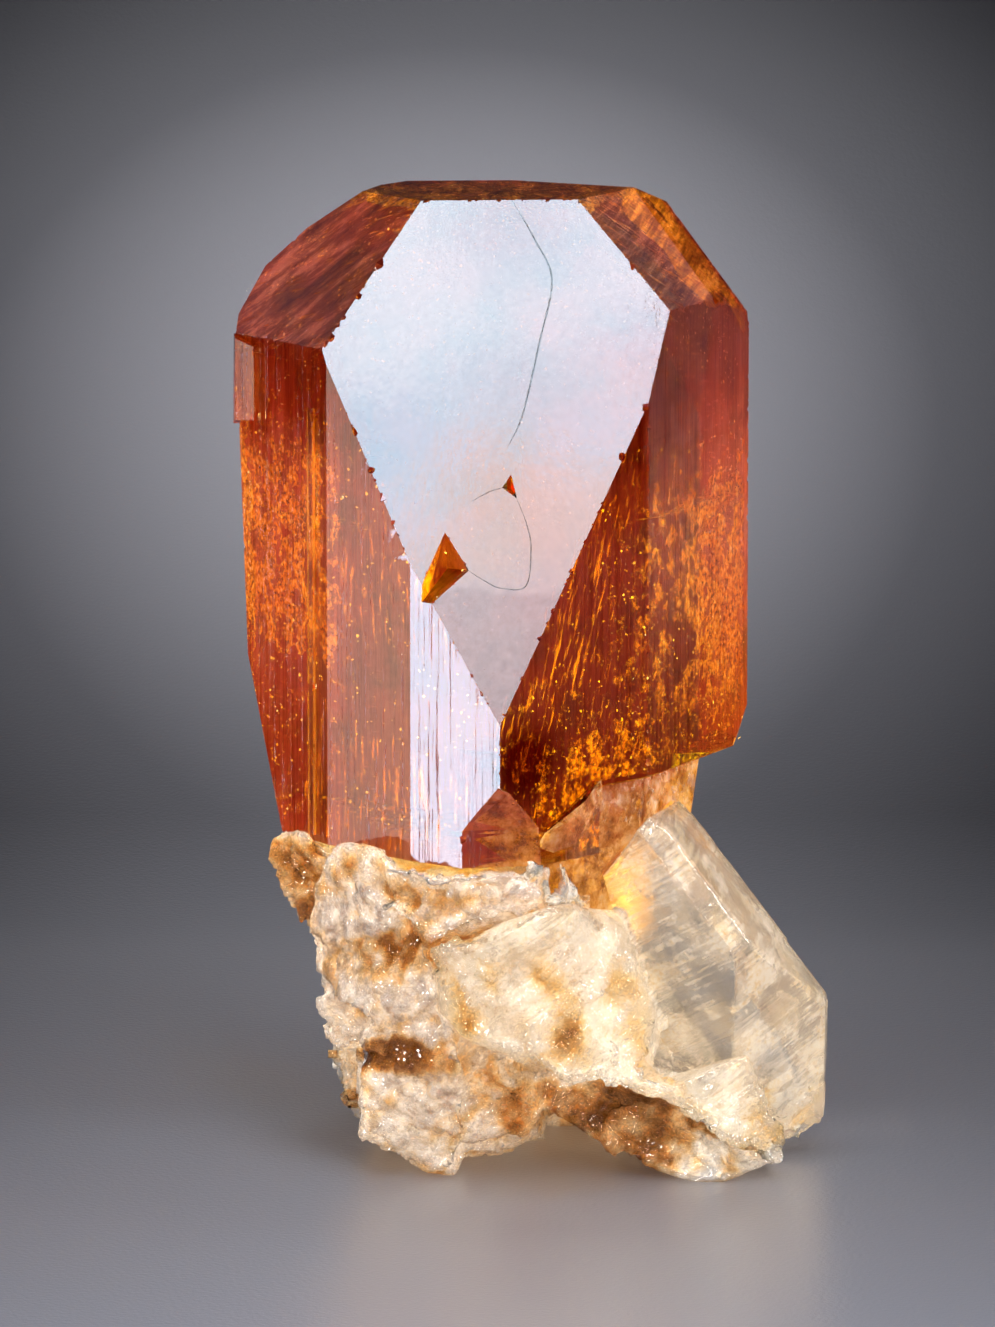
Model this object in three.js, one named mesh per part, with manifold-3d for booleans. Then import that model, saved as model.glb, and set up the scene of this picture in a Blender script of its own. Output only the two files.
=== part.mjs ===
// Topaz crystal on quartz: one large sherry topaz standing on a broken quartz matrix, with a
// leaning quartz crystal grown against its foot. Millimetres, +Z up, origin on the ground
// under the middle of the bounding box, the topaz's broad front dome facing -Y.
//
// Flat-faced crystals are the common inside of their face planes. A face is given as its
// azimuth (degrees from -Y towards +X), its tilt (degrees between its outward normal and the
// c axis) and its distance from the crystal's centre. The three angles of topaz's real faces
// follow from its axial ratio a : b : c = 0.528 : 1 : 0.955.
import * as THREE from 'three';
import { ConvexGeometry } from 'three/addons/geometries/ConvexGeometry.js';
import { mergeVertices } from 'three/addons/utils/BufferGeometryUtils.js';
import Module from 'manifold-3d';

const wasm = await Module();
wasm.setup();

// Driving dimensions
const GAP = 0.3; // between one mineral and the next
const TO_BOX_CENTRE = [-0.23, -1.35, 0]; // from the crystal's growth frame to the part's origin
const TOPAZ_CENTRE = new THREE.Vector3(-3, 1.5, 55.7);
const TOPAZ_TURN = 4; // about its c axis
const CLEAVAGE_LOW = 29.6; // height of the basal cleavage that the topaz stands on
const CLEAVAGE_HIGH = 35.6; // height of the cleavage step at its right foot
const STEP_X = 6.2; // where the low cleavage ends
const QUARTZ_CENTRE = new THREE.Vector3(16, -6, 18);
const QUARTZ_LEAN = -36.5; // degrees about +Y, its free end pointing down to the right
const QUARTZ_FOOT = 0.4; // how far the leaning crystal's lowest point is above the ground
const GROUND_DEPTH = 20;
const GROUND_SIDE = 200;

// Interfacial angles from c
const DOME = 62.4; // {021}
const PYRAMID = 45.6; // {112}
const PRISM = 90;
const RHOMB = 128.2; // the quartz rhombohedron, seen from the far end of its c axis

const topazFaces = [
  // Front
  { azimuth: TOPAZ_TURN, tilt: DOME, distance: 17.39 },
  { azimuth: 0, tilt: 0, distance: 30.63 },
  { azimuth: -39.4, tilt: PRISM, distance: 20.21 },
  { azimuth: -47.6, tilt: PRISM, distance: 19.01 },
  { azimuth: -58.5, tilt: PRISM, distance: 18.91 },
  { azimuth: 48.5, tilt: PRISM, distance: 17.87 },
  { azimuth: 65, tilt: PRISM, distance: 17.2 },
  { azimuth: -58.5, tilt: 48.2, distance: 26.19 },
  { azimuth: 65, tilt: PYRAMID, distance: 27.11 },
  // Left side, broken away below
  { azimuth: -97, tilt: 92.4, distance: 22.6 },
  { azimuth: -88, tilt: 101, distance: 23.93 },
  { azimuth: -104, tilt: 33, distance: 32.63 },
  { azimuth: -92, tilt: 61.1, distance: 29.83 },
  // Right side, its foot rounded off
  { azimuth: 78.2, tilt: 48.5, distance: 28.22 },
  { azimuth: 108, tilt: 72, distance: 30.4 },
  { azimuth: 84, tilt: 107, distance: 25.9 },
  { azimuth: 80, tilt: 128, distance: 29.0 },
  // Back
  { azimuth: -141, tilt: PRISM, distance: 20.34 },
  { azimuth: 139.5, tilt: PRISM, distance: 21.5 },
  { azimuth: 180 + TOPAZ_TURN, tilt: DOME, distance: 27.88 },
  { azimuth: -121.5, tilt: PYRAMID, distance: 31.89 },
  { azimuth: 128, tilt: 60, distance: 33.6 },
  { azimuth: 147, tilt: 15, distance: 33.2 },
  { azimuth: 0, tilt: 180, distance: TOPAZ_CENTRE.z - CLEAVAGE_LOW },
];

const quartzFaces = [
  // Prism
  { azimuth: -38, tilt: PRISM, distance: 6.7 },
  { azimuth: 22, tilt: PRISM, distance: 11.4 },
  { azimuth: 82, tilt: PRISM, distance: 6.75 },
  { azimuth: 142, tilt: PRISM, distance: 5.6 },
  { azimuth: -158, tilt: PRISM, distance: 7.5 },
  { azimuth: -98, tilt: PRISM, distance: 12.5 },
  // Free end
  { azimuth: -38, tilt: RHOMB, distance: 11.6 },
  { azimuth: 22, tilt: RHOMB, distance: 8.5 },
  { azimuth: 82, tilt: RHOMB, distance: 10.8 },
  { azimuth: 142, tilt: RHOMB, distance: 13.5 },
  { azimuth: -158, tilt: RHOMB, distance: 14.5 },
  { azimuth: -98, tilt: RHOMB, distance: 14.5 },
  // End that leans on the topaz's foot, its upper corner worn
  { azimuth: -130, tilt: 17, distance: 11.75 },
  { azimuth: 85, tilt: 71.9, distance: 10.1 },
];

// The unit normal of a face.
function faceNormal({ azimuth, tilt }) {
  const a = THREE.MathUtils.degToRad(azimuth);
  const t = THREE.MathUtils.degToRad(tilt);
  return new THREE.Vector3(Math.sin(a) * Math.sin(t), -Math.cos(a) * Math.sin(t), Math.cos(t));
}

// The corners of the common inside of face planes: every meeting point of three planes that
// lies outside none of the others.
function corners(faces) {
  const planes = faces.map((face) => new THREE.Plane(faceNormal(face), -face.distance));
  const found = [];
  for (let i = 0; i < planes.length; i++)
    for (let j = i + 1; j < planes.length; j++)
      for (let k = j + 1; k < planes.length; k++) {
        const point = meeting(planes[i], planes[j], planes[k]);
        if (point && planes.every((plane) => plane.distanceToPoint(point) < 1e-6)) found.push(point);
      }
  return found;
}

// Where three planes meet, or null if two of them are parallel.
function meeting(a, b, c) {
  const bc = new THREE.Vector3().crossVectors(b.normal, c.normal);
  const spread = a.normal.dot(bc);
  if (Math.abs(spread) < 1e-9) return null;
  const ca = new THREE.Vector3().crossVectors(c.normal, a.normal);
  const ab = new THREE.Vector3().crossVectors(a.normal, b.normal);
  return bc
    .multiplyScalar(-a.constant)
    .addScaledVector(ca, -b.constant)
    .addScaledVector(ab, -c.constant)
    .divideScalar(spread);
}

// A closed mesh as a solid that can be joined and cut.
function solid(geometry) {
  const bare = geometry.clone();
  bare.deleteAttribute('normal');
  bare.deleteAttribute('uv');
  const merged = mergeVertices(bare, 1e-4);
  return new wasm.Manifold(
    new wasm.Mesh({
      numProp: 3,
      vertProperties: merged.attributes.position.array,
      triVerts: new Uint32Array(merged.index.array),
    }),
  );
}

// A crystal with every face moved out by grow.
function crystal(faces, placing, grow = 0) {
  const moved = faces.map((face) => ({ ...face, distance: face.distance + grow }));
  return solid(new ConvexGeometry(corners(moved)).applyMatrix4(placing));
}

// A convex lump from its corners, moved out by about grow from its own middle.
function lump(points, grow = 0) {
  const vectors = points.map((point) => new THREE.Vector3(...point));
  const bounds = new THREE.Box3().setFromPoints(vectors);
  const size = bounds.getSize(new THREE.Vector3()).addScalar(2 * grow);
  const scale = size.clone().divide(bounds.getSize(new THREE.Vector3()));
  const middle = bounds.getCenter(new THREE.Vector3());
  const moved = vectors.map((vector) => vector.sub(middle).multiply(scale).add(middle));
  return solid(new ConvexGeometry(moved));
}

function joined(solids) {
  return solids.reduce((whole, next) => whole.add(next));
}

// The largest body of a solid, without the crumbs that a neighbour has cut off.
function largestBody(shape) {
  return shape.decompose().reduce((best, next) => (next.volume() > best.volume() ? next : best));
}

function box(low, high) {
  const size = high.map((value, axis) => value - low[axis]);
  const middle = high.map((value, axis) => (value + low[axis]) / 2);
  return solid(new THREE.BoxGeometry(...size).translate(...middle));
}

const below = (height) =>
  box(
    [-GROUND_SIDE, -GROUND_SIDE, height - GROUND_DEPTH],
    [GROUND_SIDE, GROUND_SIDE, height],
  );

const topazPlacing = new THREE.Matrix4().makeTranslation(TOPAZ_CENTRE);
const quartzPlacing = new THREE.Matrix4()
  .makeTranslation(QUARTZ_CENTRE)
  .multiply(new THREE.Matrix4().makeRotationY(THREE.MathUtils.degToRad(QUARTZ_LEAN)));

// The two wedge-shaped pits in the front dome, and the shell broken from the foot of the
// front edge. Each reaches a little out of the surface that it is cut from.
function topazBreaks() {
  const largePit = lump([
    [-7.4, -17, 58.6],
    [-5.3, -18.5, 55.4],
    [-8.5, -20.2, 52.7],
    [-9.8, -20.4, 52.4],
    [-9.3, -19.2, 54.5],
    [-7.2, -15.6, 55.2],
    [-8.9, -17.9, 53.2],
    [-8.2, -22, 58],
    [-6.3, -22, 55],
    [-9.5, -24, 53],
  ]);
  const smallPit = lump([
    [-1.6, -14.1, 63.3],
    [-2.4, -14.7, 62.2],
    [-1.1, -15.1, 61.3],
    [-1.6, -13.2, 61.9],
    [-1.8, -17, 62.5],
  ]);
  const footShell = lump([
    [-2.8, -24.9, 37.2],
    [-5.9, -22.2, 32.9],
    [-5.9, -22.2, 28],
    [-2.6, -23.2, 28],
    [-2.4, -23.4, 33],
    [1.2, -20.8, 28],
    [0.8, -21.1, 33],
    [-1.8, -24.1, 36.6],
    [-5.5, -26, 30],
    [-2.6, -30, 37],
    [1.5, -26, 30],
  ]);
  return joined([largePit, smallPit, footShell]);
}

// Raised growth: the layer that ends in a chipped ledge at the upper left, the narrow rib
// beside the second prism face, and the crumbled ridge over the right foot.
function topazGrowth() {
  const ledge = lump([
    [-26.3, 1.2, 73.6],
    [-26.5, 3.4, 73.8],
    [-26.4, 1.4, 66.2],
    [-26.6, 3.8, 65.6],
    [-25.4, 6.5, 73.4],
    [-25.4, 6.5, 65.4],
    [-24.6, -0.6, 73],
    [-24.6, -0.6, 66.4],
    [-24, 5, 70],
  ]);
  const rib = lump([
    [-19.7, -8.2, 68.5],
    [-19.2, -9.1, 68.5],
    [-19.7, -8.2, 30.2],
    [-19.2, -9.1, 30.2],
    [-18.6, -7.6, 68.3],
    [-18.6, -7.6, 30.2],
  ]);
  const crumbledRidge = lump([
    [6.4, -15.6, 36.4],
    [6.5, -15.2, 34.5],
    [5.6, -16.6, 32.6],
    [4, -18.3, 31],
    [2.1, -20, 30.6],
    [0.6, -21.9, 31.5],
    [1.4, -21.8, 32.7],
    [3.4, -20.1, 33.3],
    [5, -18, 34.9],
    [6, -16.4, 36.2],
    [1.6, -17, 32],
    [5.6, -13, 36.2],
  ]);
  return joined([ledge, rib, crumbledRidge]);
}

// The crystal down to its two cleavage levels.
function topazBody(grow = 0) {
  const rightFoot = box([STEP_X + grow, -40, 20], [40, 40, CLEAVAGE_HIGH - grow]);
  return crystal(topazFaces, topazPlacing, grow).subtract(rightFoot);
}

// The splintered stub under the cleavage step, set back from the faces above it.
function topazStub(grow = 0) {
  const inset = topazFaces
    .filter((face) => face.tilt === PRISM)
    .map((face) => ({ ...face, distance: face.distance - 0.9 }));
  const limits = [
    { azimuth: 90, tilt: 99, distance: 21.4 },
    { azimuth: -90, tilt: 84, distance: -6.6 },
    { azimuth: 170, tilt: 90, distance: 6 },
    { azimuth: 0, tilt: 0, distance: CLEAVAGE_HIGH + 0.5 - TOPAZ_CENTRE.z },
    { azimuth: 0, tilt: 180, distance: TOPAZ_CENTRE.z - 22 },
  ];
  return crystal([...inset, ...limits], topazPlacing, grow);
}

function topaz(quartzRoom) {
  return topazBody()
    .add(topazStub().subtract(quartzRoom))
    .add(topazGrowth())
    .subtract(topazBreaks());
}

// Conchoidal fracture at the left of the leaning crystal, a bulging shell of blunt facets,
// and the lip that runs on from it under the crystal's lower edge.
function quartzFracture(grow = 0) {
  const shell = [
    [-9, -21.5, 22.5],
    [-7.5, -23, 23],
    [-3.5, -25.5, 24],
    [-1, -26, 25.5],
    [2, -25.5, 27],
    [4, -22, 26.5],
    [8.5, -18, 23.5],
    [11, -18, 17],
    [10.5, -18, 9],
    [8, -21, 10],
    [3.5, -23, 10.5],
    [0, -24.5, 13],
    [-3, -24, 14],
    [-6, -22.5, 14.5],
    [-8, -21, 16.5],
    [-6, -17, 20],
    [8, -12, 24],
    [12, -10, 12],
    [-4, -16, 13],
  ];
  const leftLip = [
    [6.2, -21, 10.1],
    [6.6, -20.8, 9.6],
    [8.4, -20.4, 9.6],
    [11.6, -19.6, 8.5],
    [12.6, -19.3, 9.6],
    [9.8, -19.6, 11.1],
    [7.1, -20.5, 11.6],
    [9, -14, 12],
    [12, -12, 9],
  ];
  const rightLip = [
    [11.6, -19.6, 8.5],
    [13.2, -18.8, 7.5],
    [15.5, -17.6, 5.2],
    [19.1, -16, 2.6],
    [22.4, -14.5, 1.4],
    [23.5, -13.5, 2.5],
    [12.6, -19.3, 9.6],
    [16, -17.2, 10.6],
    [19.4, -15.6, 11.8],
    [20.2, -15.6, 7.1],
    [12, -12, 9],
    [18, -8, 5],
  ];
  return joined([lump(shell, grow), lump(leftLip, grow), lump(rightLip, grow)]);
}

function quartz(grow = 0) {
  return crystal(quartzFaces, quartzPlacing, grow).add(quartzFracture(grow));
}

// Matrix: broken quartz, its lumps grown into one another.
function matrixLumps() {
  const core = lump([
    [-16.5, -11, 27],
    [-11, -19, 28.5],
    [-5, -23, 31],
    [-1, -22.5, 31],
    [4, -15, 27],
    [5.5, -15, 22.5],
    [4, -13, 10.5],
    [-4.5, -17, 12.5],
    [-13.5, -12, 11.5],
    [-18, -9, 19],
    [-19, -2, 31],
    [-17, 18, 31],
    [4, 23, 31],
    [12, 14, 31],
    [13, -4, 31],
    [-16, 16, 8],
    [8, 19, 7],
    [13, 6, 7],
    [-15, -2, 9],
  ]);
  const leftLobe = lump([
    [-22, -3, 30],
    [-23, -5, 29],
    [-23.5, -5, 26],
    [-22, -6, 24],
    [-20.5, -6, 21.5],
    [-18.5, -8, 21.5],
    [-18.5, -10, 29],
    [-20, -9, 30.5],
    [-22, 3, 29],
    [-21, 5, 22],
    [-15, 8, 29],
    [-15, 6, 19],
  ]);
  const creamBlock = lump([
    [-18.5, -13, 28.5],
    [-16, -16.5, 31],
    [-12.5, -19, 30.5],
    [-11.5, -20, 30],
    [-9.5, -21, 22.5],
    [-10.5, -20.5, 19],
    [-12, -20, 17],
    [-14.5, -18, 15.5],
    [-17, -15, 16],
    [-19, -12, 18],
    [-19.5, -11, 22],
    [-19, -4, 28],
    [-10, -12, 29],
    [-12, -8, 16],
    [-18, -5, 15],
  ]);
  const clearPrism = lump([
    [-13, -20.5, 29.5],
    [-13, -21, 26],
    [-10.5, -22.5, 24.5],
    [-8, -24, 29],
    [-10.5, -22, 30],
    [-8, -16, 29],
    [-12, -15, 28],
    [-9, -17, 23],
  ]);
  const smokyBand = lump([
    [-8, -23.5, 29],
    [-5.5, -25, 29.5],
    [1, -22.5, 30.5],
    [1, -22.5, 27.5],
    [-1, -22.5, 25],
    [-4.5, -23.5, 24],
    [-9, -22, 22.5],
    [-10.5, -22, 24.5],
    [-9, -14, 30],
    [3, -14, 30],
    [3, -14, 20],
    [-9, -14, 21],
  ]);
  const smokyWedge = lump([
    [1, -19, 30.5],
    [2.5, -18, 31],
    [3, -17.5, 28.5],
    [4, -18, 25.5],
    [2, -19.5, 26],
    [1, -20, 25.5],
    [7, -8, 29],
    [3, -10, 30],
    [8, -8, 22],
    [3, -9, 22],
  ]);
  const shadowStep = lump([
    [-19, -10, 15.5],
    [-18.5, -10, 12],
    [-17.5, -10, 10.5],
    [-12, -13, 13],
    [-12, -14, 16],
    [-18, 0, 18],
    [-18, 1, 12],
    [-9, -2, 12],
    [-9, -2, 19],
  ]);
  const greyLobe = lump([
    [-9.5, -20.5, 22],
    [-12.5, -19, 16.5],
    [-15.5, -17, 12.5],
    [-15.5, -15, 6.5],
    [-15.5, -14, 4],
    [-14.5, -13.5, 3],
    [-12, -13, 2],
    [-9, -12, 0],
    [-6.5, -13, 0],
    [-5.5, -16.5, 5],
    [-6, -19, 10],
    [-6.5, -20.5, 15],
    [-8, -21, 21],
    [-12, -4, 18],
    [-14, 0, 2],
    [-5, -2, 1],
    [-4, -6, 16],
  ]);
  const leftHeel = lump([
    [-18, -6, 10],
    [-17, -6, 7.5],
    [-16.5, -6, 6],
    [-15.5, -7, 3.5],
    [-15.5, 2, 8],
    [-15, 10, 12],
    [-14, 12, 0],
    [-8, 15, 0],
    [-6, 16, 10],
    [-8, -2, 0],
    [-13, -4, 1],
  ]);
  const upperGrain = lump([
    [-7, -18, 12.5],
    [-2.5, -15, 12],
    [-2, -15, 9.5],
    [-4.5, -16.5, 8],
    [-7, -18, 9],
    [-3, -6, 13],
    [-6, -6, 8],
    [0, -6, 9],
  ]);
  const lowerGrain = lump([
    [-5.5, -16.5, 7.5],
    [-3, -16, 9.5],
    [-1, -14.5, 8.5],
    [1, -13, 6],
    [0, -13, 4],
    [-3, -12.5, 1.5],
    [-6, -12.5, 1],
    [-7, -14, 2.5],
    [2, -4, 9],
    [-5, -3, 1],
    [2, -2, 1],
    [-4, -2, 10],
  ]);
  const rightBlock = lump([
    [-1, -12, 7],
    [1.5, -11, 9.5],
    [8, -12, 7.5],
    [15.5, -13, 4],
    [19, -14, 2],
    [22, -12, 1.5],
    [22, -12, 1],
    [19.5, -13.5, 0.5],
    [17.5, -15.5, 0],
    [14.5, -15.5, 0],
    [10.5, -14.5, 1],
    [6.5, -13.5, 2.5],
    [2.5, -12, 5],
    [6, 4, 12],
    [20, 2, 9],
    [22, -2, 1.5],
    [18, 6, 0],
    [6, 8, 4],
    [3, 0, 10],
    [12, -4, 0],
  ]);
  const backFoot = lump([
    [-10, 8, 0],
    [-4, 17, 0],
    [4, 19, 0],
    [10, 16, 0],
    [11, 8, 0],
    [-12, 10, 8],
    [-4, 20, 10],
    [9, 20, 9],
    [14, 10, 10],
    [0, 2, 8],
  ]);
  const backCrystal = lump([
    [2, 22, 27],
    [-6, 25, 26],
    [-13, 21, 25],
    [-14, 14, 20],
    [-5, 24, 14],
    [6, 22, 14],
    [3, 14, 8],
    [-10, 14, 10],
  ]);
  return [
    core,
    leftLobe,
    creamBlock,
    clearPrism,
    smokyBand,
    smokyWedge,
    shadowStep,
    greyLobe,
    leftHeel,
    upperGrain,
    lowerGrain,
    rightBlock,
    backFoot,
    backCrystal,
  ];
}

function matrix() {
  const whole = joined(matrixLumps())
    .subtract(topazBody(GAP))
    .subtract(topazStub(GAP))
    .subtract(quartz(GAP))
    .subtract(below(0));
  return largestBody(whole);
}

// A named mesh from a solid.
function piece(name, shape, colour, roughness) {
  const { vertProperties, triVerts } = shape.getMesh();
  const geometry = new THREE.BufferGeometry();
  geometry.setAttribute('position', new THREE.BufferAttribute(vertProperties, 3));
  geometry.setIndex(new THREE.BufferAttribute(triVerts, 1));
  const material = new THREE.MeshStandardMaterial({ color: colour, roughness, metalness: 0 });
  const mesh = new THREE.Mesh(geometry, material);
  mesh.name = name;
  return mesh;
}

const leaningQuartz = quartz().subtract(topazBody(GAP)).subtract(below(QUARTZ_FOOT));

const specimen = new THREE.Group();
specimen.position.set(...TO_BOX_CENTRE);
specimen.add(piece('topaz_crystal', topaz(quartz(GAP)), 0xa8500f, 0.08));
specimen.add(piece('quartz_crystal', leaningQuartz, 0xdccfa6, 0.15));
specimen.add(piece('quartz_matrix', matrix(), 0xc9ab78, 0.4));

const part = new THREE.Group();
part.add(specimen);

export default part;
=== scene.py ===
import math

import bmesh
import bpy
import numpy as np
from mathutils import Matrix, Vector


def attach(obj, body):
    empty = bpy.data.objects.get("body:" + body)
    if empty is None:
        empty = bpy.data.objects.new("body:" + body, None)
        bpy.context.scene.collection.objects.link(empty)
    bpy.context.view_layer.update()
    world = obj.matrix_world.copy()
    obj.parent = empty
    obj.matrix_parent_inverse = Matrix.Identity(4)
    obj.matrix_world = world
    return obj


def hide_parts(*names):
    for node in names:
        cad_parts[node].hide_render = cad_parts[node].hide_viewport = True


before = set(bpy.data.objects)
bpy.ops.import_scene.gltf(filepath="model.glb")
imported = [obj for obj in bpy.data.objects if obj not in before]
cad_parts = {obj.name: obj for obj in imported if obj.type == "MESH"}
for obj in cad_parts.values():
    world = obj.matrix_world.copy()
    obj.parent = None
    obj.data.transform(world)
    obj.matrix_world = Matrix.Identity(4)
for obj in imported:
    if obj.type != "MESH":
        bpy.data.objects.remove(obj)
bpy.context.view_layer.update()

bpy.context.scene.view_settings.view_transform = "Standard"


# ---- Studio ----------------------------------------------
# A grey paper sweep and a long lens a little above the crystal. A softly uneven diffuser in
# front is mirrored by the sloping face. Cards and small boxes light the crystal and the quartz
# apart, large boxes glow through from behind, and black flags deepen the side reflections.

MM = 0.001
CAMERA_AT = (-3.03, -701.35, 152.7)
CAMERA_DOWN = 8.8027
LENS = 213.517
SENSOR_HEIGHT = 36
SWEEP_START, SWEEP_RADIUS, SWEEP_TOP = 110, 190, 1000
SWEEP_FRONT, SWEEP_SIDE = -900, 900


def linked_object(name, data):
    """A new object that shows a mesh, light or camera, in the scene's collection."""
    made = bpy.data.objects.new(name, data)
    bpy.context.collection.objects.link(made)
    return made


def new_object(name, points, faces):
    """A mesh object from an array of points in millimetres and a list of faces."""
    mesh = bpy.data.meshes.new(name)
    mesh.from_pydata(np.asarray(points, float) * MM, [], faces)
    mesh.update()
    return linked_object(name, mesh)


def add_node(tree, kind, values=(), **settings):
    """A shader node with its settings, its inputs set or linked from (socket, value) pairs."""
    made = tree.nodes.new("ShaderNode" + kind)
    for key, value in settings.items():
        setattr(made, key, value)
    for socket, value in dict(values).items():
        if isinstance(value, bpy.types.NodeSocket):
            tree.links.new(value, made.inputs[socket])
        else:
            made.inputs[socket].default_value = value
    return made


def new_material(name, values):
    """A Principled material with its constant values; returns it, its tree and its shader."""
    material = bpy.data.materials.new(name)
    material.use_nodes = True
    shader = material.node_tree.nodes["Principled BSDF"]
    for socket, value in values.items():
        shader.inputs[socket].default_value = value
    return material, material.node_tree, shader


def mix_surface(tree, share, first, second):
    """Makes a mix of two shaders the material's surface."""
    mixed = add_node(tree, "MixShader", {0: share, 1: first.outputs[0], 2: second.outputs[0]})
    tree.links.new(mixed.outputs[0], tree.nodes["Material Output"].inputs["Surface"])
    return mixed


def object_place(tree):
    return add_node(tree, "TexCoord").outputs["Object"]


def add_bump(tree, shader, height, distance=1.0, strength=1.0):
    """Feeds a height, in metres over the distance, to the shader's normal."""
    bump = add_node(tree, "Bump", {"Height": height, "Strength": strength, "Distance": distance})
    tree.links.new(bump.outputs[0], shader.inputs["Normal"])


def maths(tree, operation, first, second, third=None):
    values = {0: first, 1: second}
    if third is not None:
        values[2] = third
    return add_node(tree, "Math", values, operation=operation).outputs[0]


def vector_maths(tree, operation, first, second):
    return add_node(tree, "VectorMath", {0: first, 1: second}, operation=operation).outputs[0]


def map_range(tree, value, start, end, low=0.0, high=1.0, kind="LINEAR"):
    """From low where value is start to high where it is end, and held there beyond."""
    return add_node(tree, "MapRange", {"Value": value, 1: start, 2: end, 3: low, 4: high},
                    interpolation_type=kind).outputs[0]


def axis_of(tree, place, axis):
    return add_node(tree, "SeparateXYZ", {0: place}).outputs[axis]


def swing(tree, value, amount, middle):
    """middle + amount * (value - 0.5), for a noise whose mean is 0.5."""
    return maths(tree, "MULTIPLY_ADD", maths(tree, "SUBTRACT", value, 0.5), amount, middle)


def ramp(tree, value, stops):
    """A colour ramp over value, its stops given as (position, colour)."""
    made = add_node(tree, "ValToRGB", {"Fac": value})
    elements = made.color_ramp.elements
    while len(elements) < len(stops):
        elements.new(0.5)
    for element, (position, colour) in zip(elements, stops):
        element.position = position
        element.color = (*colour, 1)
    return made.outputs["Color"]


def blend(tree, fac, first, second, kind="MIX"):
    """A colour mix of two colours or sockets by a factor."""
    made = add_node(tree, "Mix", data_type="RGBA", blend_type=kind)
    for socket, value in ((made.inputs[0], fac), (made.inputs[6], first), (made.inputs[7], second)):
        if isinstance(value, bpy.types.NodeSocket):
            tree.links.new(value, socket)
        else:
            socket.default_value = (*value, 1) if isinstance(value, tuple) else value
    return made.outputs[2]


def noise(tree, place, size, detail=6, roughness=0.6, stretch=(1, 1, 1), turn=(0, 0, 0), twist=0):
    """Fractal noise with features of a size in millimetres, stretched along turned axes."""
    if stretch != (1, 1, 1) or turn != (0, 0, 0):
        turned = add_node(tree, "Mapping", {
            "Vector": place, "Rotation": tuple(math.radians(angle) for angle in turn)})
        place = add_node(tree, "Mapping", {
            "Vector": turned.outputs[0], "Scale": tuple(1 / factor for factor in stretch)}).outputs[0]
    return add_node(tree, "TexNoise", {
        "Vector": place, "Scale": 1 / (size * MM), "Detail": detail, "Roughness": roughness,
        "Distortion": twist}).outputs["Fac"]


def spot(tree, place, centre, radii, core=0.3):
    """A mask, 1 in the core of an ellipsoid and 0 outside it."""
    near = add_node(tree, "Mapping", {
        "Vector": place, "Scale": tuple(1 / (radius * MM) for radius in radii),
        "Location": tuple(-middle / radius for middle, radius in zip(centre, radii))})
    ball = add_node(tree, "TexGradient", {"Vector": near.outputs[0]}, gradient_type="SPHERICAL")
    return map_range(tree, ball.outputs["Fac"], 0.0, 1 - core, kind="SMOOTHSTEP")


camera_data = bpy.data.cameras.new("camera")
camera_data.sensor_fit = "VERTICAL"
camera_data.sensor_height = SENSOR_HEIGHT
camera_data.lens = LENS
camera_data.clip_start = 0.01
camera_data.clip_end = 10
camera = linked_object("camera", camera_data)
camera.location = Vector(CAMERA_AT) * MM
camera.rotation_euler = (math.radians(90 - CAMERA_DOWN), 0, 0)
bpy.context.scene.camera = camera

arc = np.linspace(0, math.pi / 2, 33)
profile = np.concatenate([
    [[SWEEP_FRONT, 0]],
    np.stack([SWEEP_START + SWEEP_RADIUS * np.sin(arc), SWEEP_RADIUS * (1 - np.cos(arc))], -1),
    [[SWEEP_START + SWEEP_RADIUS, SWEEP_TOP]],
])
sides = [np.insert(profile, 0, x, axis=1) for x in (-SWEEP_SIDE, SWEEP_SIDE)]
count = len(profile)
sweep = new_object("paper_sweep", np.concatenate(sides), [
    (i, i + count, i + count + 1, i + 1) for i in range(count - 1)])
sweep.data.shade_smooth()

# The paper's grey is painted light: a painted glow in a pool behind the crystal that darkens
# to black around it, and painted light on the floor in front of it that fades to black
# towards the back. Seen from behind it is clear, so that it doesn't hide the crystal's back.
paper, tree, shader = new_material("grey_paper", {"Roughness": 0.28, "Specular IOR Level": 0.5})
place = object_place(tree)
painted_glow_grey = ramp(tree, spot(tree, place, (-8, 200, 40), (115, 4000, 80), 0), [
    (0, (0.003, 0.003, 0.004)), (0.5, (0.1, 0.1, 0.113)), (1, (0.345, 0.342, 0.38))])
painted_floor_light = ramp(tree, map_range(tree, axis_of(tree, place, "Y"), 0.15, -0.09), [
    (0, (0, 0, 0)), (0.25, (0.078, 0.079, 0.09)), (0.55, (0.115, 0.12, 0.142)),
    (1, (0.3, 0.31, 0.36))])
tree.links.new(blend(tree, 1.0, painted_glow_grey, painted_floor_light, "ADD"), shader.inputs["Base Color"])
add_bump(tree, shader, noise(tree, place, 0.5, 3), 0.0002, 0.3)
backface = add_node(tree, "NewGeometry").outputs["Backfacing"]
mix_surface(tree, backface, shader, add_node(tree, "BsdfTransparent"))
sweep.data.materials.append(paper)

world = bpy.data.worlds.new("studio")
world.use_nodes = True
background = world.node_tree.nodes["Background"]
background.inputs["Color"].default_value = (0.93, 0.95, 1, 1)
background.inputs["Strength"].default_value = 0.03
bpy.context.scene.world = world


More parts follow.
